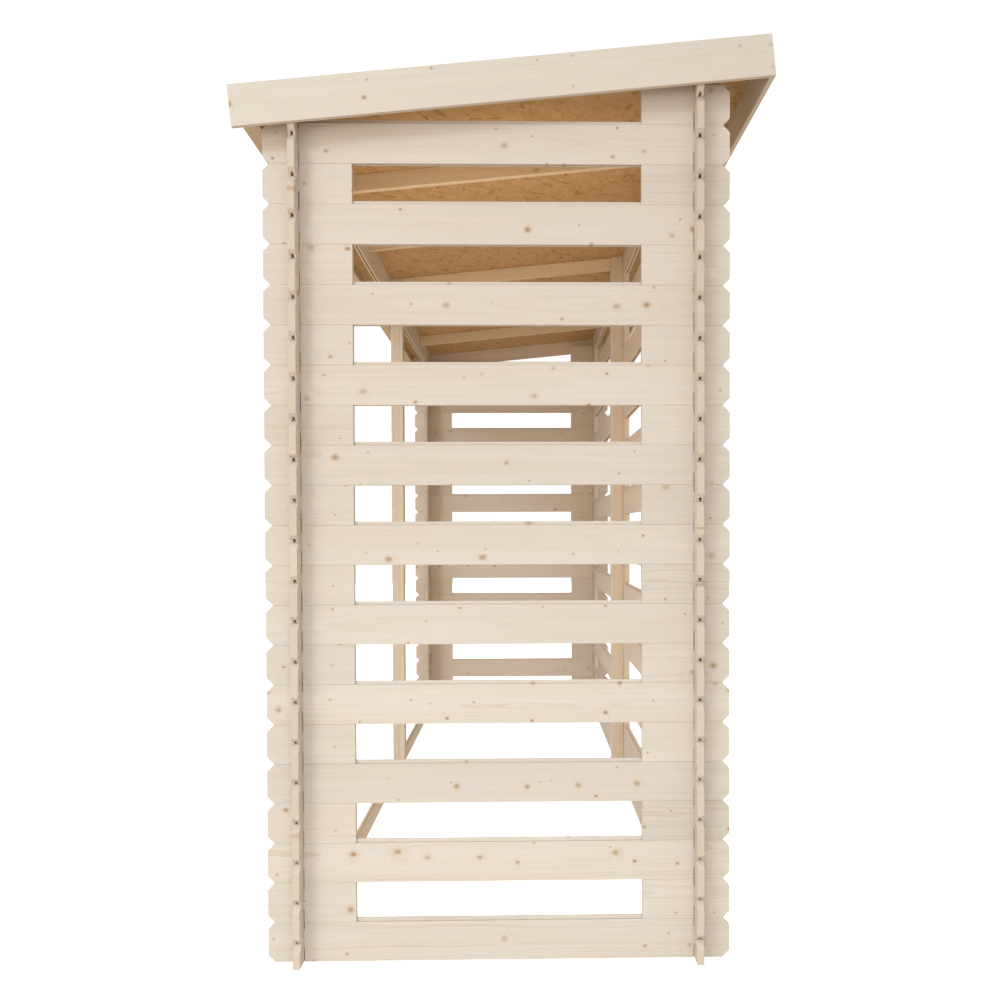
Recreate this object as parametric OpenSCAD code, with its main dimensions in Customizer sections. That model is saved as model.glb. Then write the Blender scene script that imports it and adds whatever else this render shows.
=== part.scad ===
// Slatted log store: end walls and a rear wall of cross-lapped thin log boards,
// an open front, and a mono-pitch roof of boards on rafters.
// X runs along the store, the open front looks towards -Y, +Z is up.
// The origin is on the ground, under the centre of the roof.

/* [Store] */
// Length over the outer faces of the two end walls
length = 3000; // [1800:10:4000]
// Depth over the outer faces of the front and rear walls
depth = 920; // [700:10:1300]

/* [Log boards] */
// Height of one course of boards
course = 90; // [70:1:120]
// Height of the sills under the long walls, which sets their courses off from the end walls'
sill_h = 51; // [35:1:60]
// Thickness of a board
board_t = 16; // [12:0.5:28]
// Height of the tongue along a board's top edge
tongue_h = 8; // [4:0.5:12]
// Thickness of the tongue
tongue_t = 5; // [3:0.5:8]
// Clearance between a tongue and the groove around it
tongue_clearance = 0.5; // [0.2:0.1:1]
// Clearance beside a board where it passes through a corner notch
notch_clearance = 1; // [0.3:0.1:2]
// Leg of the 45 degree chamfer at a board's end
end_chamfer = 16; // [6:1:24]
// How far an end wall's boards stand out past the front and rear walls
end_wall_tail = 65; // [30:1:120]
// How far the long walls' boards stand out past the end walls
long_wall_tail = 40; // [25:1:100]
// Length of the short blocks that fill the corners
block_l = 200; // [150:5:300]
// Length of the spacer blocks at the rear post
spacer_l = 200; // [100:5:300]

/* [Posts and rafters] */
// Side of the square posts
post_w = 45; // [30:1:80]
// Width of a rafter
rafter_w = 20; // [16:1:60]
// Height of a rafter, square to the slope
rafter_h = 45; // [30:1:70]
// From the outer face of an end wall to the middle of the nearest rafter
rafter_inset = 460; // [200:5:600]

/* [Roof] */
// Thickness of the roof panels
panel_t = 12; // [8:1:22]
// Gap between the two roof panels
panel_gap = 2; // [1:1:6]
// Thickness of the fascia boards
fascia_t = 12; // [8:1:28]
// Height of the fascia boards
fascia_h = 92; // [70:1:140]
// How far a fascia board stands above the underside of the panels
fascia_up = 23; // [14:1:50]
// Overhang of the roof in front of the front wall, along the slope
front_overhang = 125; // [80:1:300]
// Overhang of the roof behind the rear wall, along the slope
rear_overhang = 150; // [80:1:300]
// Width of the batten under the front eave
batten_w = 38; // [20:1:60]
// Thickness of the batten under the front eave
batten_t = 28; // [10:1:40]

/* [Hidden] */
// Full-height boards in an end wall, one in every other course
end_board_count = 11;
end_course_count = 2 * end_board_count - 1;
rear_board_count = end_board_count - 1;
// The rear wall stands this many courses higher than the front wall
rise_courses = 1;
rafter_count = 5;

// Colours
spruce = "#E2D3C2";
spruce_dark = "#D6C3AC";
board_panel = "#C9A478";

// Half dimensions over the outer faces, and to the middle of each wall
half_l = length / 2;
half_d = depth / 2;
wall_x = half_l - board_t / 2;
wall_y = half_d - board_t / 2;
inner_y = half_d - board_t;

// Ends of the boards of the long walls and of the end walls
long_end = half_l + long_wall_tail;
end_end = half_d + end_wall_tail;

// Where boards cross, each long-wall board gives a quarter course at its top and
// foot, and the end-wall boards give the rest
long_notch = course / 4;
end_foot_notch = sill_h - long_notch;
end_top_notch = 3 * long_notch - sill_h;

// The roof plane is the underside of the panels. It touches the front top board
// along its inner arris and the rear top board along its outer arris.
front_top_z = sill_h + end_course_count * course;
slope_run = inner_y + half_d;
slope_angle = atan(rise_courses * course / slope_run);
plane_z0 = front_top_z + inner_y * tan(slope_angle);

// Ends of the roof along the slope, counted from above the walls' middle
roof_low = -half_d / cos(slope_angle) - front_overhang;
roof_high = half_d / cos(slope_angle) + rear_overhang;
fascia_down = fascia_h - fascia_up;

// Where the fascias reach furthest, so the origin sits under the middle
roof_min_y = roof_low * cos(slope_angle) - fascia_up * sin(slope_angle);
roof_max_y = roof_high * cos(slope_angle) + fascia_down * sin(slope_angle);
centre_y = -(roof_min_y + roof_max_y) / 2;

// Cutters reach well past what they cut
beyond = 100;

// Places the store in its frame
module placed() {
    translate([0, centre_y, 0]) children();
}

// Everything below the roof plane
module under_roof() {
    intersection() {
        children();
        translate([0, 0, plane_z0]) rotate([slope_angle, 0, 0])
            translate([-length, -2 * depth, -4 * front_top_z])
                cube([2 * length, 4 * depth, 4 * front_top_z]);
    }
}

// The side of a board as an outline, from x0 to x1 and z0 to z1. Its corners are cut
// at 45 degrees, at the low and the high end where ends says 1 and not 0, and it is
// notched by top_notch and foot_notch around each crossing board.
module board_side(x0, x1, z0, z1, crossings, top_cut, foot_cut, top_notch, foot_notch, ends) {
    notch_w = board_t + 2 * notch_clearance;
    x_low = x0 + ends[0] * foot_cut;
    x_high = x1 - ends[1] * foot_cut;
    difference() {
        polygon([
            [x_low, z0], [x_high, z0], [x1, z0 + ends[1] * foot_cut],
            [x1, z1 - ends[1] * top_cut], [x1 - ends[1] * top_cut, z1],
            [x0 + ends[0] * top_cut, z1], [x0, z1 - ends[0] * top_cut],
            [x0, z0 + ends[0] * foot_cut]
        ]);
        for (x = crossings) {
            if (top_notch > 0)
                translate([x - notch_w / 2, z1 - top_notch])
                    square([notch_w, top_notch + beyond]);
            if (foot_notch > 0)
                translate([x - notch_w / 2, z0 - beyond])
                    square([notch_w, foot_notch + beyond]);
        }
    }
}

// The tongue of a board as an outline, rooted a little way down in the board: at
// a cut end it carries the 45 degree cut on
module tongue_side(x0, x1, z1, crossings, top_cut, ends) {
    notch_w = board_t + 2 * notch_clearance;
    root = 1;
    x_low = x0 + ends[0] * top_cut;
    x_high = x1 - ends[1] * top_cut;
    difference() {
        polygon([
            [x_low - ends[0] * root, z1 - root], [x_high + ends[1] * root, z1 - root],
            [x_high - ends[1] * tongue_h, z1 + tongue_h], [x_low + ends[0] * tongue_h, z1 + tongue_h]
        ]);
        for (x = crossings)
            translate([x - notch_w / 2, z1 - beyond])
                square([notch_w, 2 * beyond]);
    }
}

// One board along X, its thickness centred on y = 0. A board has a groove under it,
// a tongue on it and 45 degree corners, apart from what the arguments leave out.
module board(x0, x1, z0, z1, crossings = [], tongue = true, groove = true,
             top_cut = end_chamfer, foot_cut = end_chamfer,
             top_notch = long_notch, foot_notch = long_notch, ends = [1, 1]) {
    groove_t = tongue_t + 2 * tongue_clearance;
    groove_h = tongue_h + tongue_clearance;
    difference() {
        rotate([90, 0, 0]) linear_extrude(board_t, center = true)
            board_side(x0, x1, z0, z1, crossings, top_cut, foot_cut, top_notch, foot_notch, ends);
        if (groove)
            translate([x0 - beyond, -groove_t / 2, z0 - beyond])
                cube([x1 - x0 + 2 * beyond, groove_t, groove_h + beyond]);
    }
    if (tongue)
        rotate([90, 0, 0]) linear_extrude(tongue_t, center = true)
            tongue_side(x0, x1, z1, crossings, top_cut, ends);
}

// Height of the foot of row n of a long wall, counted from the sill
function row_z(n) = sill_h + n * course;

// A board of row n of a long wall, from x0 to x1
module long_board(x0, x1, n, crossings, ends = [1, 1]) {
    board(x0, x1, row_z(n), row_z(n + 1), crossings, ends = ends);
}

// The board that a long wall stands on: flat below, with no groove
module sill(y) {
    placed() translate([0, y, 0])
        board(-long_end, long_end, 0, sill_h, [-wall_x, wall_x],
              groove = false, foot_cut = 0, foot_notch = 0);
}

// The top board of a long wall: its upper edge is planed to the roof's slope
module top_board(y, n) {
    placed() under_roof() translate([0, y, 0])
        board(-long_end, long_end, row_z(n), row_z(n + 1) + beyond / 4,
              [-wall_x, wall_x], tongue = false, top_cut = 0, top_notch = 0);
}

// A full-length board of the rear wall, in row n
module rear_board(n) {
    placed() translate([0, wall_y, 0])
        long_board(-long_end, long_end, n, [-wall_x, wall_x]);
}

// Short blocks at one corner of a long wall, cut square at their inner end; side is
// -1 at the left, 1 at the right
module long_wall_blocks(y, side, rows) {
    placed() translate([0, y, 0])
        for (n = rows)
            if (side < 0) long_board(-long_end, -long_end + block_l, n, [-wall_x], [1, 0]);
            else long_board(long_end - block_l, long_end, n, [wall_x], [0, 1]);
}

// Turns a board that runs along X so that it runs along Y in an end wall
module in_end_wall(side) {
    placed() translate([side * wall_x, 0, 0]) rotate([0, 0, 90]) children();
}

// A board of course n of an end wall, from y0 to y1
module end_board(y0, y1, n, crossings, ends = [1, 1]) {
    board(y0, y1, n * course, (n + 1) * course, crossings,
          top_notch = end_top_notch, foot_notch = end_foot_notch, ends = ends);
}

// The full boards of one end wall
module end_boards(side) {
    in_end_wall(side)
        for (k = [0 : end_board_count - 1])
            end_board(-end_end, end_end, 2 * k, [-wall_y, wall_y]);
}

// The blocks between an end wall's boards at its front corner, square at the inner end
module end_front_blocks(side) {
    in_end_wall(side)
        for (k = [1 : end_board_count - 1])
            end_board(-end_end, -end_end + block_l, 2 * k - 1, [-wall_y], [1, 0]);
}

// The blocks at its rear corner, one more than at the front
module end_rear_blocks(side) {
    in_end_wall(side)
        for (k = [1 : end_board_count])
            end_board(end_end - block_l, end_end, 2 * k - 1, [wall_y], [0, 1]);
}

// A post against the inside of a long wall; side is -1 at the front, 1 at the rear
module post(side) {
    placed() under_roof()
        translate([-post_w / 2, side > 0 ? inner_y - post_w : -inner_y, 0])
            cube([post_w, post_w, 2 * front_top_z]);
}

// A rafter at x, between two upright faces at y0 and y1
module rafter(x, y0, y1) {
    placed() intersection() {
        translate([0, 0, plane_z0]) rotate([slope_angle, 0, 0])
            translate([x - rafter_w / 2, -depth, -rafter_h])
                cube([rafter_w, 2 * depth, rafter_h]);
        translate([x - rafter_w, y0, 0])
            cube([2 * rafter_w, y1 - y0, 2 * front_top_z]);
    }
}

// Rafter i of the row; the middle one runs between the two posts
module rafter_at(i) {
    middle = (rafter_count + 1) / 2;
    step = (half_l - rafter_inset) / (middle - 1);
    x = (i - middle) * step;
    is_middle = i == middle;
    reach = inner_y - (is_middle ? post_w : 0);
    color(spruce_dark) rafter(x, -reach, reach);
}

// Puts a piece of the roof in its place: z = 0 is the underside of the panels
module on_slope() {
    placed() translate([0, 0, plane_z0]) rotate([slope_angle, 0, 0]) children();
}

// A roof panel between x0 and x1
module panel(x0, x1) {
    color(board_panel) on_slope()
        translate([x0, roof_low, 0])
            cube([x1 - x0, roof_high - fascia_t - roof_low, panel_t]);
}

// The fascia that closes one end of the roof
module end_fascia(side) {
    color(spruce) on_slope()
        translate([side > 0 ? long_end : -long_end - fascia_t, roof_low, -fascia_down])
            cube([fascia_t, roof_high - roof_low, fascia_h]);
}

module front_sill() { color(spruce) sill(-wall_y); }
module rear_sill() { color(spruce) sill(wall_y); }
module front_top_board() { color(spruce) top_board(-wall_y, end_course_count - 1); }
module rear_top_board() { color(spruce) top_board(wall_y, end_course_count + rise_courses - 1); }
module rear_bottom_board() { color(spruce) rear_board(0); }
module rear_board_at(k) { color(spruce) rear_board(2 * k - 1); }

// Every other row of the corner stack beside the open front, from the sill up
odd_rows = [for (n = [0 : 2 : end_course_count - 2]) n];
even_rows = [for (n = [1 : 2 : end_course_count - 2]) n];
// Rows of the rear wall that are open between their blocks
open_rows = [for (k = [1 : rear_board_count]) 2 * k];

module front_left_blocks_odd() { color(spruce) long_wall_blocks(-wall_y, -1, odd_rows); }
module front_left_blocks_even() { color(spruce) long_wall_blocks(-wall_y, -1, even_rows); }
module front_right_blocks_odd() { color(spruce) long_wall_blocks(-wall_y, 1, odd_rows); }
module front_right_blocks_even() { color(spruce) long_wall_blocks(-wall_y, 1, even_rows); }
module rear_left_blocks() { color(spruce) long_wall_blocks(wall_y, -1, open_rows); }
module rear_right_blocks() { color(spruce) long_wall_blocks(wall_y, 1, open_rows); }

// Spacers on the rear post: they carry the rear boards at mid length
module rear_middle_blocks() {
    color(spruce) placed() translate([0, wall_y, 0])
        for (n = open_rows)
            long_board(-spacer_l / 2, spacer_l / 2, n, [], [0, 0]);
}

module left_end_boards() { color(spruce) end_boards(-1); }
module right_end_boards() { color(spruce) end_boards(1); }
module left_end_front_blocks() { color(spruce) end_front_blocks(-1); }
module right_end_front_blocks() { color(spruce) end_front_blocks(1); }
module left_end_rear_blocks() { color(spruce) end_rear_blocks(-1); }
module right_end_rear_blocks() { color(spruce) end_rear_blocks(1); }

module front_post() { color(spruce_dark) post(-1); }
module rear_post() { color(spruce_dark) post(1); }

module roof_panel_left() { panel(-long_end, -panel_gap / 2); }
module roof_panel_right() { panel(panel_gap / 2, long_end); }
module left_fascia() { end_fascia(-1); }
module right_fascia() { end_fascia(1); }

module rear_fascia() {
    color(spruce) on_slope()
        translate([-long_end, roof_high - fascia_t, -fascia_down])
            cube([2 * long_end, fascia_t, fascia_h]);
}

module front_eave_batten() {
    color(spruce) on_slope()
        translate([-long_end, roof_low, -batten_t])
            cube([2 * long_end, batten_w, batten_t]);
}

front_sill();
front_top_board();
front_post();
front_left_blocks_odd();
front_left_blocks_even();
front_right_blocks_odd();
front_right_blocks_even();
rear_sill();
rear_bottom_board();
rear_top_board();
rear_post();
rear_left_blocks();
rear_middle_blocks();
rear_right_blocks();
left_end_boards();
left_end_front_blocks();
left_end_rear_blocks();
right_end_boards();
right_end_front_blocks();
right_end_rear_blocks();
roof_panel_left();
roof_panel_right();
front_eave_batten();
rear_fascia();
left_fascia();
right_fascia();
for (k = [1 : rear_board_count])
    rear_board_at(k);
for (i = [1 : rafter_count])
    rafter_at(i);
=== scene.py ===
"""A log store: thin spruce log boards crossed at the corners, an open front, a roof of strand board.

Lengths are in metres. X runs along the store, the open front looks towards -Y and +Z is up.
"""

import math

import bpy
import numpy as np
from mathutils import Matrix, Vector


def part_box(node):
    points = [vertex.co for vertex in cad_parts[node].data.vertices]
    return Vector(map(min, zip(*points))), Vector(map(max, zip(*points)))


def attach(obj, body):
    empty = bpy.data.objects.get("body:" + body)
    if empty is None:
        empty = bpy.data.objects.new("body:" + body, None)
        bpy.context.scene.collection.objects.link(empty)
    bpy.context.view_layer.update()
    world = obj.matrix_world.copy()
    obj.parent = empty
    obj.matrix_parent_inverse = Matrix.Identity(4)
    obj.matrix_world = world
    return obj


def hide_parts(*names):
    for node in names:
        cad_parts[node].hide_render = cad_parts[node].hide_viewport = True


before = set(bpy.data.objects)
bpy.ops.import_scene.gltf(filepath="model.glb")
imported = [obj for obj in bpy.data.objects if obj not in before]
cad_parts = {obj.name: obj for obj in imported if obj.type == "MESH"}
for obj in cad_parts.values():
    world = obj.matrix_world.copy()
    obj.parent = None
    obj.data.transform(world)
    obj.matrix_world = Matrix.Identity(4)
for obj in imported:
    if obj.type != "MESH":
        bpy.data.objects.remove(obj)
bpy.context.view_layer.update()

# ---- Camera ---------------------------------------------------------------------------------------
# It stands close to one end wall, a little behind the wall's middle and at half its height, and looks
# along the store. The lens is moved up and to the left, so the uprights stay nearly parallel.

end_low, end_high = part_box("right_end_boards")
end_wall_middle = (end_low.y + end_high.y) / 2
camera_spot = Vector((end_high.x + 2.1085, end_wall_middle + 0.0514, 0.9764))
turn_right, tip_down, lean = math.radians(1.11), math.radians(0.95), math.radians(-0.17)

camera_data = bpy.data.cameras.new("store_camera")
camera_data.sensor_width = 36.0
camera_data.lens = 33.56
camera_data.shift_x = -0.0393
camera_data.shift_y = 0.0462
camera_data.clip_end = 60.0
camera = bpy.data.objects.new("store_camera", camera_data)
look = Vector((-math.cos(turn_right), math.sin(turn_right), -math.tan(tip_down)))
facing = look.to_track_quat("-Z", "Y").to_matrix() @ Matrix.Rotation(lean, 3, "Z")
camera.matrix_world = Matrix.Translation(camera_spot) @ facing.to_4x4()
bpy.context.scene.collection.objects.link(camera)
bpy.context.scene.camera = camera

# ---- Light and floor ------------------------------------------------------------------------------
# A white surround, dim and warm below, and a white floor that throws no light on the store. A cool lamp
# high on the left gives the soft shadows, one low on the left shines into the open front, one lights the
# foot of the near end wall, and a warm one just inside that wall fills the inside.

bpy.context.scene.view_settings.view_transform = "Standard"
bpy.context.scene.view_settings.gamma = 0.85


def add_node(tree, kind, inputs=None, **settings):
    """Adds a shader node: settings are its own properties, and inputs gives a value or an output
    socket for each named or numbered input."""
    made = tree.nodes.new(kind)
    for key, value in settings.items():
        setattr(made, key, value)
    for key, value in (inputs or {}).items():
        if isinstance(value, bpy.types.NodeSocket):
            tree.links.new(value, made.inputs[key])
        else:
            made.inputs[key].default_value = value
    return made


studio = bpy.data.worlds.new("white_studio")
studio.use_nodes = True
sky = studio.node_tree
way = add_node(sky, "ShaderNodeTexCoord")
way_up = add_node(sky, "ShaderNodeSeparateXYZ", {0: way.outputs["Generated"]})
above = add_node(sky, "ShaderNodeMapRange", {"Value": way_up.outputs[2], "From Min": -0.45,
                 "From Max": -0.10})
glow = add_node(sky, "ShaderNodeMix", {0: above.outputs[0], 6: (0.75, 0.64, 0.50, 1.0),
                7: (1.06, 1.07, 1.08, 1.0)}, data_type="RGBA")
sky.links.new(glow.outputs[2], sky.nodes["Background"].inputs["Color"])
bpy.context.scene.world = studio


def soft_lamp(name, spot, target, sides, power, colour):
    """A rectangular lamp at spot, turned to shine at target, which the camera itself doesn't see."""
    data = bpy.data.lights.new(name, "AREA")
    data.shape = "RECTANGLE"
    data.size, data.size_y = sides
    data.energy = power
    data.color = colour
    lamp = bpy.data.objects.new(name, data)
    lamp.location = spot
    lamp.rotation_euler = (Vector(target) - Vector(spot)).to_track_quat("-Z", "Y").to_euler()
    lamp.visible_camera = False
    bpy.context.scene.collection.objects.link(lamp)


soft_lamp("key_lamp", (6.0, -3.5, 5.0), (1.5, 0.0, 1.0), (1.5, 1.5), 114.0, (0.65, 0.84, 1.0))
soft_lamp("side_lamp", (4.5, -3.4, 1.1), (0.8, -0.2, 1.5), (1.6, 1.6), 36.0, (1.0, 0.94, 0.84))
soft_lamp("foot_lamp", (3.6, 0.0, 0.05), (1.5, 0.0, 0.3), (1.6, 0.4), 15.0, (0.66, 0.84, 1.0))
soft_lamp("inner_lamp", (1.46, 0.0, 0.9), (0.0, 0.0, 0.9), (0.30, 1.5), 8.0, (1.0, 0.80, 0.56))

floor_half = 14.0
floor_mesh = bpy.data.meshes.new("studio_floor")
floor_mesh.from_pydata(
    [(-floor_half, -floor_half, 0), (floor_half, -floor_half, 0),
     (floor_half, floor_half, 0), (-floor_half, floor_half, 0)], [], [(0, 1, 2, 3)])
studio_floor = bpy.data.objects.new("studio_floor", floor_mesh)
studio_floor.location.z = -0.001
studio_floor.visible_diffuse = False
studio_floor.visible_glossy = False
studio_floor.visible_shadow = False
bpy.context.scene.collection.objects.link(studio_floor)


def new_material(name):
    """A material with a Principled shader joined to its output: returns it, its tree and the shader."""
    material = bpy.data.materials.new(name)
    material.use_nodes = True
    tree = material.node_tree
    tree.nodes.clear()
    shader = add_node(tree, "ShaderNodeBsdfPrincipled")
    add_node(tree, "ShaderNodeOutputMaterial", {"Surface": shader.outputs["BSDF"]})
    return material, tree, shader


floor_paint, _, floor_shader = new_material("studio_floor_paint")
floor_shader.inputs["Base Color"].default_value = (0.80, 0.80, 0.80, 1.0)
floor_shader.inputs["Roughness"].default_value = 0.9
floor_shader.inputs["Emission Color"].default_value = (1.0, 1.0, 1.0, 1.0)
floor_shader.inputs["Emission Strength"].default_value = 0.90
floor_mesh.materials.append(floor_paint)

# ---- Sills ----------------------------------------------------------------------------------------
# Low boards that the front and rear walls stand on. They are planed spruce, flat below, with a tongue
# above, notched from above where the end walls cross them. Their height sets the long walls' courses
# off from the end walls', so that the notches of both lock into each other.

course = 0.090
tongue_height = 0.008
tongue_thick = 0.005
groove_height = 0.0085
groove_thick = 0.006
corner_cut = 0.016
notch_play = 0.001

sill_low, sill_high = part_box("front_sill")
sill_height = sill_high.z - tongue_height
long_notch = course / 4
end_top_notch = 3 * long_notch - sill_height
end_foot_notch = sill_height - long_notch
board_thick = sill_high.y - sill_low.y
long_end = sill_high.x
draw = np.random.RandomState(1871)


def middle_of(node):
    """The middle of a node's box: half the sum of its two corners."""
    low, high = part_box(node)
    return [(a + b) / 2 for a, b in zip(low, high)]


end_wall_x = middle_of("right_end_boards")[0]
front_wall_y = middle_of("front_sill")[1]
rear_wall_y = middle_of("rear_sill")[1]


def weld(points, faces):
    """Merges points that lie in one place, and drops what collapses: each face keeps its distinct
    points in order, and a face left with fewer than three goes."""
    _, first, place = np.unique(np.round(points, 7), axis=0, return_index=True, return_inverse=True)
    place = place.reshape(-1)
    kept = []
    marks = []
    for number, face in enumerate(faces):
        ring = place[list(face)]
        ring = ring[ring != np.roll(ring, 1)]
        if len(ring) > 2:
            kept.append(ring.tolist())
            marks.append(number)
    return points[first], kept, marks


def board_shape(length, height, thick, notches=(), tongue=True, groove=True, top_cut=corner_cut,
                foot_cut=corner_cut, top_notch=long_notch, foot_notch=long_notch, top_slope=0.0,
                cut_ends=(1, 1)):
    """The closed surface of one board, as points (along, across, up) and faces, with a mark on each
    face that cuts across the grain. A section of twelve points, which goes up one side, over the
    tongue, down the other side and through the groove, is carried along the board. Its top and its
    foot are broken lines in the distance along: 45 degree ramps at the ends that are cut, and steps
    at the notches.
    """
    lift = tongue_height if tongue else 0.0
    dig = groove_height if groove else 0.0
    stops = [v for v in (foot_cut - dig, foot_cut, top_cut, top_cut + lift) if v > 0]
    stops = [0.0, length] + [v for v in stops if cut_ends[0]] + [length - v for v in stops if cut_ends[1]]
    along = [(v, False) for v in sorted({round(v, 6) for v in stops})]
    half_notch = board_thick / 2 + notch_play
    for middle in notches:
        a, b = middle - half_notch, middle + half_notch
        along = [p for p in along if not a - 1e-6 < p[0] < b + 1e-6]
        first = sum(p[0] < a for p in along)
        along[first:first] = [(a, False), (a, True), (b, True), (b, False)]
    s = np.array([p[0] for p in along])
    inside = np.array([p[1] for p in along])

    def ramp(reach):
        """Reach less the distance to each end that is cut, where that is more than nothing."""
        return cut_ends[0] * np.maximum(reach - s, 0) + cut_ends[1] * np.maximum(reach - (length - s), 0)

    top = height - ramp(top_cut)
    foot = ramp(foot_cut)
    rise = np.clip(lift - ramp(top_cut + lift), 0, lift)
    dent = np.clip(dig - foot, 0, dig)
    if top_notch:
        top = np.where(inside, height - top_notch, top)
        rise = np.where(inside, 0.0, rise)
    if foot_notch:
        foot = np.where(inside, foot_notch, foot)
        dent = np.where(inside, 0.0, dent)
    t, g = tongue_thick / 2, groove_thick / 2
    side = thick / 2
    across = np.array([-side, -side, -t, -t, t, t, side, side, g, g, -g, -g])
    up = np.stack([foot, top, top, top + rise, top + rise, top, top, foot, foot, foot + dent,
                   foot + dent, foot], axis=1)
    up[:, 1:7] += top_slope * across[1:7]
    points = np.empty((len(s), 12, 3))
    points[:, :, 0] = s[:, None]
    points[:, :, 1] = across[None, :]
    points[:, :, 2] = up
    number = np.arange(len(s) * 12).reshape(-1, 12)
    faces = []
    cuts = []
    for i in range(len(s) - 1):
        here, there = number[i], number[i + 1]
        if s[i + 1] > s[i]:
            sloped = top[i + 1] != top[i] or foot[i + 1] != foot[i]
            for a in (1, 2, 3, 4, 5, 7, 8, 9, 10, 11):
                b = (a + 1) % 12
                faces.append((here[a], there[a], there[b], here[b]))
                cuts.append(0.6 if sloped and a in (1, 3, 5, 7, 11) else 0.0)
            continue
        outer, inner = (here, there) if inside[i + 1] else (there, here)
        turn = 1 if inside[i + 1] else -1
        if top_notch:
            wall = [*inner[1:7], *outer[6:0:-1]]
            faces.append(wall[::turn])
            cuts.append(1.0)
        if foot_notch:
            wall = [outer[0], *outer[11:6:-1], *inner[7:12], inner[0]]
            faces.append(wall[::turn])
            cuts.append(1.0)
    faces.append([*number[:, 0], *number[::-1, 1]])
    faces.append([*number[:, 6], *number[::-1, 7]])
    faces.append(number[0])
    faces.append(number[-1, ::-1])
    cuts += [0.0, 0.0, 1.0, 1.0]
    points, faces, kept = weld(points.reshape(-1, 3), faces)
    return points, faces, np.array(cuts)[kept]


def lay(shape, origin, along=(1, 0, 0), across=(0, 1, 0), up=(0, 0, 1)):
    """Puts a board in its place: a point moves to origin + a.along + c.across + u.up. It keeps its own
    grain: the same three distances, counted from the heart of a tree drawn for this board, which lies
    18 to 90 mm to one side of the board's middle."""
    points, faces, cuts = shape
    placed = np.array(origin) + points @ np.array([along, across, up], float)
    heart = np.array([draw.uniform(0, 40), draw.uniform(0.018, 0.090) * draw.choice([-1, 1]),
                      draw.uniform(-0.05, 0.05) - points[:, 2].max() / 2])
    lot = draw.uniform(0, 1, 3)
    return {"points": placed, "faces": faces, "cuts": cuts, "grain": points + heart,
            "lot": np.tile(lot, (len(points), 1))}


def piece_of(name, boards, material, nodes, arris=0.0009):
    """One object from a list of boards, with the arrises of every board eased."""
    mesh = bpy.data.meshes.new(name)
    shift = np.cumsum([0] + [len(b["points"]) for b in boards])
    faces = [[i + off for i in f] for b, off in zip(boards, shift) for f in b["faces"]]
    mesh.from_pydata(np.concatenate([b["points"] for b in boards]).tolist(), [], faces)
    for key in ("grain", "lot"):
        layer = mesh.attributes.new(key, "FLOAT_VECTOR", "POINT")
        layer.data.foreach_set("vector", np.concatenate([b[key] for b in boards]).ravel())
    layer = mesh.attributes.new("cut", "FLOAT", "FACE")
    layer.data.foreach_set("value", np.concatenate([b["cuts"] for b in boards]))
    mesh.materials.append(material)
    piece = bpy.data.objects.new(name, mesh)
    bpy.context.scene.collection.objects.link(piece)
    easing = piece.modifiers.new("eased_arrises", "BEVEL")
    easing.width = arris
    easing.segments = 2
    easing.limit_method = "ANGLE"
    easing.angle_limit = math.radians(35)
    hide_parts(*nodes)
    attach(piece, "root")


def calc(tree, operation, *values, clamp=False):
    """The output of one Math node."""
    made = add_node(tree, "ShaderNodeMath", dict(enumerate(values)), operation=operation)
    made.use_clamp = clamp
    return made.outputs[0]


def blend_colours(tree, share, first, second, kind="MIX"):
    """The output of one Mix node between two colours."""
    made = add_node(tree, "ShaderNodeMix", {0: share, 6: first, 7: second}, data_type="RGBA",
                    blend_type=kind)
    return made.outputs[2]


def stretched_noise(tree, vector, scale, detail=2.0, roughness=0.5):
    """A noise texture whose coordinates are first multiplied by the three numbers of scale."""
    wide = add_node(tree, "ShaderNodeVectorMath", {0: vector, 1: scale}, operation="MULTIPLY")
    return add_node(tree, "ShaderNodeTexNoise", {"Vector": wide.outputs[0], "Scale": 1.0,
                    "Detail": detail, "Roughness": roughness})


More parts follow.
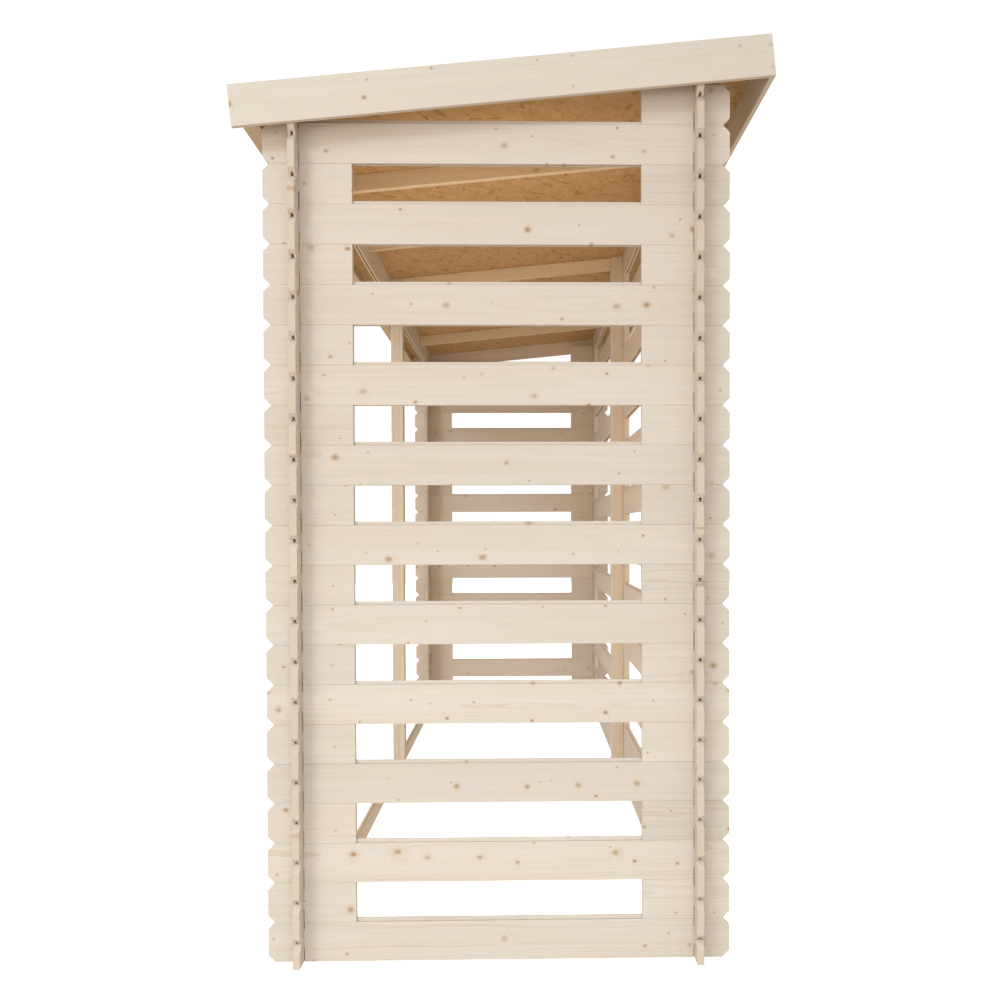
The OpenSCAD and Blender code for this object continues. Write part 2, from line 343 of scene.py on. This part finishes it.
def planed_spruce(name, early, late, knot_colour, knot_share=0.8, ring=0.0030):
    """Solid planed spruce. The growth rings are shells round the tree's heart: their number is the
    distance from it, bent by slow noise and pushed aside by the knots, over the ring's width. Each
    runs from pale early wood to a thin darker line. Knots lie at the points of a random scatter on
    the board's face, and fine noise drawn out along the board gives the fibres."""
    material, tree, shader = new_material(name)
    grain = add_node(tree, "ShaderNodeAttribute", attribute_name="grain").outputs["Vector"]
    lot = add_node(tree, "ShaderNodeAttribute", attribute_name="lot").outputs["Vector"]
    cut = add_node(tree, "ShaderNodeAttribute", attribute_name="cut").outputs["Fac"]
    at = add_node(tree, "ShaderNodeSeparateXYZ", {0: grain})
    drawn = add_node(tree, "ShaderNodeSeparateXYZ", {0: lot})

    ragged = stretched_noise(tree, grain, (90, 90, 90), 2.0)
    face_spot = add_node(tree, "ShaderNodeCombineXYZ", {0: calc(tree, "MULTIPLY", at.outputs[0], 0.8),
                         1: at.outputs[2]})
    cells = add_node(tree, "ShaderNodeTexVoronoi", {"Vector": face_spot.outputs[0], "Scale": 13.0},
                     voronoi_dimensions="2D")
    cell_draw = add_node(tree, "ShaderNodeSeparateColor", {0: cells.outputs["Color"]})
    has_knot = calc(tree, "LESS_THAN", cell_draw.outputs[0], knot_share)
    away = calc(tree, "DIVIDE", cells.outputs["Distance"], 13.0)
    away = calc(tree, "MULTIPLY", away, calc(tree, "MULTIPLY_ADD", ragged.outputs[0], 0.7, 0.65))
    size = calc(tree, "MULTIPLY_ADD", calc(tree, "POWER", cell_draw.outputs[1], 2.5), 0.0046, 0.0019)
    radii = calc(tree, "DIVIDE", away, size)

    def near_knot(reach):
        """1 at a knot's middle, falling to nothing where the distance in knot radii passes reach."""
        steps = calc(tree, "DIVIDE", radii, reach)
        bell = calc(tree, "EXPONENT", calc(tree, "MULTIPLY", calc(tree, "POWER", steps, 3.0), -1.0))
        return calc(tree, "MULTIPLY", bell, has_knot)

    slow = stretched_noise(tree, grain, (1.1, 7.0, 7.0), 2.0)
    brisk = stretched_noise(tree, grain, (7.0, 40.0, 40.0), 2.0)
    bend = calc(tree, "MULTIPLY_ADD", slow.outputs[0], 0.020, -0.010)
    bend = calc(tree, "ADD", bend, calc(tree, "MULTIPLY_ADD", brisk.outputs[0], 0.0030, -0.0015))
    bump_out = calc(tree, "MULTIPLY", near_knot(2.6), size)
    bend = calc(tree, "MULTIPLY_ADD", bump_out, 1.5, bend)
    taper = calc(tree, "MULTIPLY_ADD", drawn.outputs[2], 0.008, -0.004)
    bend = calc(tree, "ADD", bend, calc(tree, "MULTIPLY", at.outputs[0], taper))
    squares = calc(tree, "ADD", calc(tree, "POWER", at.outputs[1], 2.0),
                   calc(tree, "MULTIPLY", at.outputs[2], at.outputs[2]))
    radius = calc(tree, "ADD", calc(tree, "SQRT", squares), bend)
    ring_width = calc(tree, "MULTIPLY_ADD", drawn.outputs[1], ring * 0.8, ring * 0.7)
    years = add_node(tree, "ShaderNodeTexNoise", {"W": calc(tree, "MULTIPLY", radius, 60.0)},
                     noise_dimensions="1D")
    count = calc(tree, "ADD", calc(tree, "DIVIDE", radius, ring_width),
                 calc(tree, "MULTIPLY", years.outputs[0], 2.5))
    season = add_node(tree, "ShaderNodeValToRGB", {0: calc(tree, "FRACT", count)})
    stops = season.color_ramp.elements
    stops[0].position, stops[0].color = 0.0, (0.25, 0.25, 0.25, 1)
    stops[1].position, stops[1].color = 1.0, (0.25, 0.25, 0.25, 1)
    for spot, grey in ((0.14, 0.0), (0.55, 0.22), (0.86, 0.85), (0.94, 1.0)):
        added = stops.new(spot)
        added.color = (grey, grey, grey, 1)
    patch = stretched_noise(tree, grain, (1.6, 22.0, 22.0), 2.0)
    strength = calc(tree, "MULTIPLY_ADD", patch.outputs[0], 1.3, -0.15, clamp=True)
    marked = calc(tree, "MULTIPLY_ADD", calc(tree, "POWER", drawn.outputs[2], 2.0), 0.80, 0.35)
    strength = calc(tree, "MULTIPLY", strength, marked)
    strength = calc(tree, "MAXIMUM", strength, calc(tree, "MULTIPLY", cut, 0.4))
    lateness = calc(tree, "MULTIPLY", season.outputs[0], strength)
    colour = blend_colours(tree, lateness, (*early, 1), (*late, 1))

    fibres = stretched_noise(tree, grain, (16.0, 900.0, 900.0), 3.0, 0.6)
    streaks = stretched_noise(tree, grain, (3.0, 160.0, 160.0), 2.0, 0.6)
    shade = calc(tree, "MULTIPLY_ADD", fibres.outputs[0], 0.14, 0.93)
    shade = calc(tree, "MULTIPLY", shade, calc(tree, "MULTIPLY_ADD", streaks.outputs[0], 0.10, 0.95))
    shade = calc(tree, "MULTIPLY", shade, calc(tree, "MULTIPLY_ADD", drawn.outputs[0], 0.08, 0.96))
    grey = add_node(tree, "ShaderNodeCombineXYZ", {0: shade, 1: shade, 2: shade})
    colour = blend_colours(tree, 1.0, colour, grey.outputs[0], "MULTIPLY")
    warm = calc(tree, "MULTIPLY_ADD", stretched_noise(tree, grain, (1.0, 9.0, 9.0), 1.0).outputs[0],
                1.6, -0.75, clamp=True)
    tint = calc(tree, "MAXIMUM", calc(tree, "MULTIPLY", warm, 0.35), calc(tree, "MULTIPLY", cut, 0.45))
    tint = calc(tree, "MAXIMUM", tint, calc(tree, "MULTIPLY", near_knot(1.8), 0.35))
    colour = blend_colours(tree, tint, colour, (*late, 1))
    core = calc(tree, "MULTIPLY", near_knot(1.0), calc(tree, "MULTIPLY_ADD", cell_draw.outputs[2], 0.6, 0.4))
    colour = blend_colours(tree, core, colour, (*knot_colour, 1))
    tree.links.new(colour, shader.inputs["Base Color"])
    shader.inputs["Specular IOR Level"].default_value = 0.15
    tree.links.new(calc(tree, "MULTIPLY_ADD", fibres.outputs[0], 0.2, 0.52), shader.inputs["Roughness"])
    relief = calc(tree, "ADD", calc(tree, "MULTIPLY", lateness, 0.4), fibres.outputs[0])
    bump = add_node(tree, "ShaderNodeBump", {"Strength": 0.35, "Distance": 0.0004, "Height": relief})
    tree.links.new(bump.outputs[0], shader.inputs["Normal"])
    return material


spruce_boards = planed_spruce("spruce_boards", (0.63, 0.55, 0.475), (0.54, 0.43, 0.31), (0.40, 0.25, 0.13))


def ways_off(count, most):
    """Small random offsets, from -most to most."""
    return draw.uniform(-most, most, count)


for wall, wall_y in (("front", front_wall_y), ("rear", rear_wall_y)):
    shape = board_shape(2 * long_end, sill_height, board_thick,
                        [long_end - end_wall_x, long_end + end_wall_x], groove=False,
                        foot_cut=0.0, foot_notch=0.0)
    piece_of(f"{wall}_sill_planed", [lay(shape, (-long_end, wall_y, 0))], spruce_boards,
             [f"{wall}_sill"])

# ---- Rear wall boards -----------------------------------------------------------------------------
# Full-length tongue-and-groove boards, the two lowest closed together, the rest with one open course
# between them. Each is notched above and below where the end walls cross it.

for node in ["rear_bottom_board"] + [f"rear_board_{number}" for number in range(1, 11)]:
    low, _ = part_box(node)
    shape = board_shape(2 * long_end, course, board_thick, [long_end - end_wall_x, long_end + end_wall_x])
    off = ways_off(1, 0.0004)[0]
    piece_of(f"{node}_planed", [lay(shape, (-long_end, rear_wall_y + off, low.z))], spruce_boards,
             [node])

# ---- Top boards of the long walls -----------------------------------------------------------------
# Full-length boards of the same spruce whose upper edge is planed to the roof's slope, so the roof panels
# bear on them. The end walls cross them from below only.

front_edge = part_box("front_top_board")[1]
rear_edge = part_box("rear_top_board")[1]
roof_fall = (rear_edge.z - front_edge.z) / (rear_edge.y - front_edge.y)
roof_angle = math.atan(roof_fall)


def underside(y):
    """Height of the roof panels' underside, a plane that rises towards the rear."""
    return front_edge.z + roof_fall * (y - front_edge.y)


for wall, wall_y in (("front", front_wall_y), ("rear", rear_wall_y)):
    low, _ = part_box(f"{wall}_top_board")
    shape = board_shape(2 * long_end, underside(wall_y) - low.z, board_thick,
                        [long_end - end_wall_x, long_end + end_wall_x], tongue=False, top_cut=0.0,
                        top_notch=0.0, top_slope=roof_fall)
    piece_of(f"{wall}_top_board_planed", [lay(shape, (-long_end, wall_y, low.z))], spruce_boards,
             [f"{wall}_top_board"])

# ---- Corner blocks and spacers of the long walls --------------------------------------------------
# Short ends of board. At the open front they stack course on course beside the opening. In the rear
# wall they fill the open courses at both corners and at the mid post.


def row_feet(node):
    """Foot heights of the blocks of a node: one in every other course of the node's height."""
    low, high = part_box(node)
    rows = round((high.z - low.z - tongue_height + course) / (2 * course))
    return low.z + 2 * course * np.arange(rows)


def block_stack(node, wall_y, side):
    """The blocks of one node, each a little off in length and line. A corner block is notched, and its
    outer end carries the 45 degree cuts; a spacer in the middle is plain and square."""
    low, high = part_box(node)
    notches = {"left": [-end_wall_x - low.x], "middle": [], "right": [end_wall_x - low.x]}[side]
    boards = []
    for foot in row_feet(node):
        shape = board_shape(high.x - low.x, course, board_thick, notches,
                            cut_ends=(side == "left", side == "right"))
        shift, off = ways_off(2, 0.0005)
        boards.append(lay(shape, (low.x + shift, wall_y + off, foot)))
    piece_of(f"{node}_planed", boards, spruce_boards, [node])


for side in ("left", "right"):
    for rows in ("odd", "even"):
        block_stack(f"front_{side}_blocks_{rows}", front_wall_y, side)
    block_stack(f"rear_{side}_blocks", rear_wall_y, side)
block_stack("rear_middle_blocks", rear_wall_y, "middle")

# ---- End walls ------------------------------------------------------------------------------------
# Eleven full boards, one in every other course, with short blocks between them at both corners, square
# at the end that shows in the slots. They run across the store, and their notches lock over the long
# walls' boards.

for side, wall_x in (("left", -end_wall_x), ("right", end_wall_x)):
    for part in ("boards", "front_blocks", "rear_blocks"):
        node = f"{side}_end_{part}"
        low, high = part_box(node)
        crossed = {"boards": (front_wall_y, rear_wall_y), "front_blocks": (front_wall_y,),
                   "rear_blocks": (rear_wall_y,)}[part]
        boards = []
        for foot in row_feet(node):
            shape = board_shape(high.y - low.y, course, board_thick, [y - low.y for y in crossed],
                                top_notch=end_top_notch, foot_notch=end_foot_notch,
                                cut_ends=(part != "rear_blocks", part != "front_blocks"))
            off = ways_off(1, 0.0004)[0]
            boards.append(lay(shape, (wall_x + off, low.y, foot), (0, 1, 0), (-1, 0, 0)))
        piece_of(f"{node}_planed", boards, spruce_boards, [node])

# ---- Posts ----------------------------------------------------------------------------------------
# Square posts of planed spruce that stand on the ground against the middle of the front and rear walls,
# cut off at the roof's slope.

spruce_framing = planed_spruce("spruce_framing", (0.61, 0.55, 0.47), (0.51, 0.42, 0.32),
                               (0.40, 0.25, 0.13), knot_share=0.4, ring=0.0034)

for wall in ("front", "rear"):
    low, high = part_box(f"{wall}_post")
    shape = board_shape(high.z, high.y - low.y, high.x - low.x, tongue=False, groove=False,
                        top_cut=0.0, foot_cut=0.0)
    post = lay(shape, (0, low.y, 0), (0, 0, 1), (1, 0, 0), (0, 1, 0))
    at_top = post["points"][:, 2] > high.z / 2
    post["points"][at_top, 2] = underside(post["points"][at_top, 1])
    piece_of(f"{wall}_post_planed", [post], spruce_framing, [f"{wall}_post"], 0.0015)

# ---- Rafters --------------------------------------------------------------------------------------
# Five rafters between the walls, cut upright at both ends; the middle one runs from post to post.
# Their spruce is a slightly yellower, more saturated copy of the boards', which paints in the warm
# shade under the roof.

# A copy of planed spruce, yellower and more saturated than the boards': painted warm shade for the rafters
# and the eave batten, which lie under the roof.
spruce_painted_warm_shade = planed_spruce("spruce_painted_warm_shade", (0.67, 0.575, 0.43), (0.56, 0.43, 0.29),
                              (0.30, 0.16, 0.07), knot_share=0.35, ring=0.0034)
rafter_deep = 0.045
rafter_upright = rafter_deep / math.cos(roof_angle)
for number in range(1, 6):
    low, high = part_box(f"rafter_{number}")
    shape = board_shape(high.y - low.y, rafter_upright, high.x - low.x, tongue=False, groove=False,
                        top_cut=0.0, foot_cut=0.0)
    start = ((low.x + high.x) / 2, low.y, underside(low.y) - rafter_upright)
    piece_of(f"rafter_{number}_planed", [lay(shape, start, (0, 1, roof_fall), (-1, 0, 0))],
             spruce_painted_warm_shade, [f"rafter_{number}"], 0.0012)

# ---- Roof panels ----------------------------------------------------------------------------------
# Two strand boards, butted over the middle rafter: broad spruce and pine strands, pressed flat and laid
# every way, mostly along the store.


def strand_board(name):
    """Pressed strands. Several layers of long cells, each turned its own way, lie on one another: at
    each place the layer whose cell drew the highest number shows, with that cell's own tone and with
    fine fibres along it."""
    material, tree, shader = new_material(name)
    place = add_node(tree, "ShaderNodeTexCoord").outputs["Object"]
    highest, tone, fibre = 0.0, 0.5, 0.5
    for layer in range(7):
        turned = add_node(tree, "ShaderNodeMapping", {"Vector": place,
                          "Location": (layer * 3.7, layer * 1.9, 0),
                          "Rotation": (0, 0, layer * 0.9 - 0.2 * layer * layer)})
        long = add_node(tree, "ShaderNodeVectorMath", {0: turned.outputs[0], 1: (24.0, 100.0, 0.0)},
                        operation="MULTIPLY")
        cells = add_node(tree, "ShaderNodeTexVoronoi", {"Vector": long.outputs[0], "Scale": 1.0},
                         voronoi_dimensions="2D")
        own = add_node(tree, "ShaderNodeSeparateColor", {0: cells.outputs["Color"]})
        rank = calc(tree, "MULTIPLY_ADD", cells.outputs["Distance"], -0.35, own.outputs[0])
        shows = calc(tree, "GREATER_THAN", rank, highest)
        lines = stretched_noise(tree, turned.outputs[0], (30.0, 1100.0, 1.0), 2.0)
        highest = calc(tree, "MAXIMUM", rank, highest)
        tone = add_node(tree, "ShaderNodeMix", {0: shows, 2: tone, 3: own.outputs[1]}).outputs[0]
        fibre = add_node(tree, "ShaderNodeMix", {0: shows, 2: fibre, 3: lines.outputs[0]}).outputs[0]
    ramp = add_node(tree, "ShaderNodeValToRGB", {0: tone})
    stops = ramp.color_ramp.elements
    stops[0].position, stops[0].color = 0.0, (0.36, 0.228, 0.115, 1)
    stops[1].position, stops[1].color = 1.0, (0.555, 0.39, 0.225, 1)
    for spot, tint in ((0.10, (0.49, 0.327, 0.175)), (0.5, (0.525, 0.36, 0.20))):
        stops.new(spot).color = (*tint, 1)
    shade = calc(tree, "MULTIPLY_ADD", fibre, 0.16, 0.92)
    grey = add_node(tree, "ShaderNodeCombineXYZ", {0: shade, 1: shade, 2: shade})
    tree.links.new(blend_colours(tree, 1.0, ramp.outputs[0], grey.outputs[0], "MULTIPLY"),
                   shader.inputs["Base Color"])
    shader.inputs["Specular IOR Level"].default_value = 0.1
    tree.links.new(calc(tree, "MULTIPLY_ADD", tone, -0.15, 0.68), shader.inputs["Roughness"])
    relief = calc(tree, "MULTIPLY_ADD", fibre, 0.25, highest)
    bump = add_node(tree, "ShaderNodeBump", {"Strength": 0.6, "Distance": 0.0012, "Height": relief})
    tree.links.new(bump.outputs[0], shader.inputs["Normal"])
    return material


strands = strand_board("strand_board")
slope_way = (0.0, math.cos(roof_angle), math.sin(roof_angle))
slope_up = (0.0, -math.sin(roof_angle), math.cos(roof_angle))
panel_low, panel_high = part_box("roof_panel_left")
panel_thick = 0.012
panel_deep = (panel_high.y - panel_low.y - panel_thick * math.sin(roof_angle)) / math.cos(roof_angle)
for side in ("left", "right"):
    low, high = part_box(f"roof_panel_{side}")
    shape = board_shape(high.x - low.x, panel_thick, panel_deep, tongue=False, groove=False,
                        top_cut=0.0, foot_cut=0.0)
    front_y = low.y + panel_thick * math.sin(roof_angle)
    middle = Vector((low.x, front_y, underside(front_y))) + Vector(slope_way) * panel_deep / 2
    panel = lay(shape, middle, (1, 0, 0), slope_way, slope_up)
    piece_of(f"roof_panel_{side}_pressed", [panel], strands, [f"roof_panel_{side}"], 0.0006)

# ---- Eave batten and fascias ----------------------------------------------------------------------
# A flat batten under the panels' front edge. Fascia boards close the rear edge and both ends: they stand
# above the panels and hang below them, and the end fascias cover the rear one's end grain.

spruce_fascia = planed_spruce("spruce_fascia", (0.66, 0.58, 0.50), (0.56, 0.46, 0.35),
                              (0.40, 0.25, 0.13), knot_share=0.6, ring=0.0036)
fascia_tall, fascia_thick, fascia_above = 0.092, 0.012, 0.023
fascia_low, fascia_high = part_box("left_fascia")
fascia_long = (fascia_high.y - fascia_low.y - fascia_tall * math.sin(roof_angle)) / math.cos(roof_angle)
batten_wide, batten_thick = 0.038, 0.028


def sloped_place(x, along_slope, above):
    """A point at x, so far up the slope from the fascias' front ends, and above the panels' underside."""
    start_y = fascia_low.y + fascia_above * math.sin(roof_angle)
    start = Vector((x, start_y, underside(start_y)))
    return start + Vector(slope_way) * along_slope + Vector(slope_up) * above


shape = board_shape(2 * long_end, batten_thick, batten_wide, tongue=False, groove=False,
                    top_cut=0.0, foot_cut=0.0)
batten_start = sloped_place(-long_end, batten_wide / 2, -batten_thick)
# The batten takes the rafters' spruce, with its painted warm shade.
piece_of("front_eave_batten_planed", [lay(shape, batten_start, (1, 0, 0), slope_way, slope_up)],
         spruce_painted_warm_shade, ["front_eave_batten"], 0.0012)

shape = board_shape(2 * long_end, fascia_tall, fascia_thick, tongue=False, groove=False,
                    top_cut=0.0, foot_cut=0.0)
rear_start = sloped_place(-long_end, fascia_long - fascia_thick / 2, fascia_above - fascia_tall)
piece_of("rear_fascia_planed", [lay(shape, rear_start, (1, 0, 0), slope_way, slope_up)],
         spruce_fascia, ["rear_fascia"], 0.0012)

shape = board_shape(fascia_long, fascia_tall, fascia_thick, tongue=False, groove=False,
                    top_cut=0.0, foot_cut=0.0)
for side in ("left", "right"):
    start = sloped_place(middle_of(f"{side}_fascia")[0], 0.0, fascia_above - fascia_tall)
    piece_of(f"{side}_fascia_planed", [lay(shape, start, slope_way, (-1, 0, 0), slope_up)],
             spruce_fascia, [f"{side}_fascia"], 0.0012)

# ---- Nails ----------------------------------------------------------------------------------------
# Zinc-coated flat-headed nails. Two hold each end fascia to the rear fascia's end and a third holds it to
# the panel's end; on the roof they hold the panels down to the rafters.

nail_radius, nail_rise, nail_sink = 0.0038, 0.0009, 0.0010
joint_to_nail = 0.006
rear_end = fascia_long - 0.007
edge_nails = [(rear_end, 0.023), (rear_end, 0.072), (fascia_long - 0.075, 0.020)]

zinc_coat, zinc_tree, zinc_shader = new_material("zinc_coat")
zinc_place = add_node(zinc_tree, "ShaderNodeTexCoord").outputs["Object"]
zinc_spots = stretched_noise(zinc_tree, zinc_place, (500, 500, 500), 2.0)
zinc_shader.inputs["Metallic"].default_value = 0.85
zinc_tint = blend_colours(zinc_tree, zinc_spots.outputs[0], (0.66, 0.63, 0.59, 1), (0.50, 0.48, 0.45, 1))
zinc_tree.links.new(zinc_tint, zinc_shader.inputs["Base Color"])
zinc_tree.links.new(calc(zinc_tree, "MULTIPLY_ADD", zinc_spots.outputs[0], 0.3, 0.35),
                    zinc_shader.inputs["Roughness"])


def nail_heads(name, spots, out, roll):
    """Low domes. The profile of a head, three growing rings and a sunk one, is carried round twelve
    steps of the circle and closed by a point above and below. It is copied to every spot, facing out."""
    out, roll = Vector(out).normalized(), Vector(roll).normalized()
    axes = np.array([roll, out.cross(roll), out])
    reach = nail_radius * np.array([0.55, 0.90, 1.0, 1.0])
    height = np.array([nail_rise, 0.85 * nail_rise, 0.4 * nail_rise, -nail_sink])
    turn = np.linspace(0, 2 * math.pi, 12, endpoint=False)
    rings = np.stack([np.outer(reach, np.cos(turn)), np.outer(reach, np.sin(turn)),
                      np.outer(height, np.ones(12))], axis=2).reshape(-1, 3)
    head = np.vstack([rings, [[0, 0, nail_rise], [0, 0, -nail_sink]]])
    step = np.arange(12)
    after = (step + 1) % 12
    faces = [(48, a, b) for a, b in zip(step, after)] + [(49, 36 + b, 36 + a) for a, b in zip(step, after)]
    for ring in (0, 12, 24):
        faces += [(ring + a, ring + 12 + a, ring + 12 + b, ring + b) for a, b in zip(step, after)]
    points = (np.array(spots)[:, None, :] + (head @ axes)[None, :, :]).reshape(-1, 3)
    copies = len(head) * np.arange(len(spots))
    mesh = bpy.data.meshes.new(name)
    mesh.from_pydata(points.tolist(), [], [[int(c + v) for v in f] for c in copies for f in faces])
    mesh.polygons.foreach_set("use_smooth", [True] * len(mesh.polygons))
    mesh.materials.append(zinc_coat)
    piece = bpy.data.objects.new(name, mesh)
    bpy.context.scene.collection.objects.link(piece)
    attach(piece, "root")


for side, way in (("left", -1), ("right", 1)):
    low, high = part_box(f"{side}_fascia")
    face_x = high.x if way > 0 else low.x
    spots = [sloped_place(face_x, far, fascia_above - down) for far, down in edge_nails]
    nail_heads(f"{side}_fascia_nails", spots, (way, 0, 0), (0, 1, 0))

rows = [middle_of(f"rafter_{number}")[0] for number in (1, 2, 4, 5)] + [-joint_to_nail, joint_to_nail]
up_slope = np.linspace(0.15, fascia_long - 0.20, 7)
spots = [sloped_place(x, far, panel_thick) for x in rows for far in up_slope]
nail_heads("roof_panel_nails", spots, slope_up, (1, 0, 0))
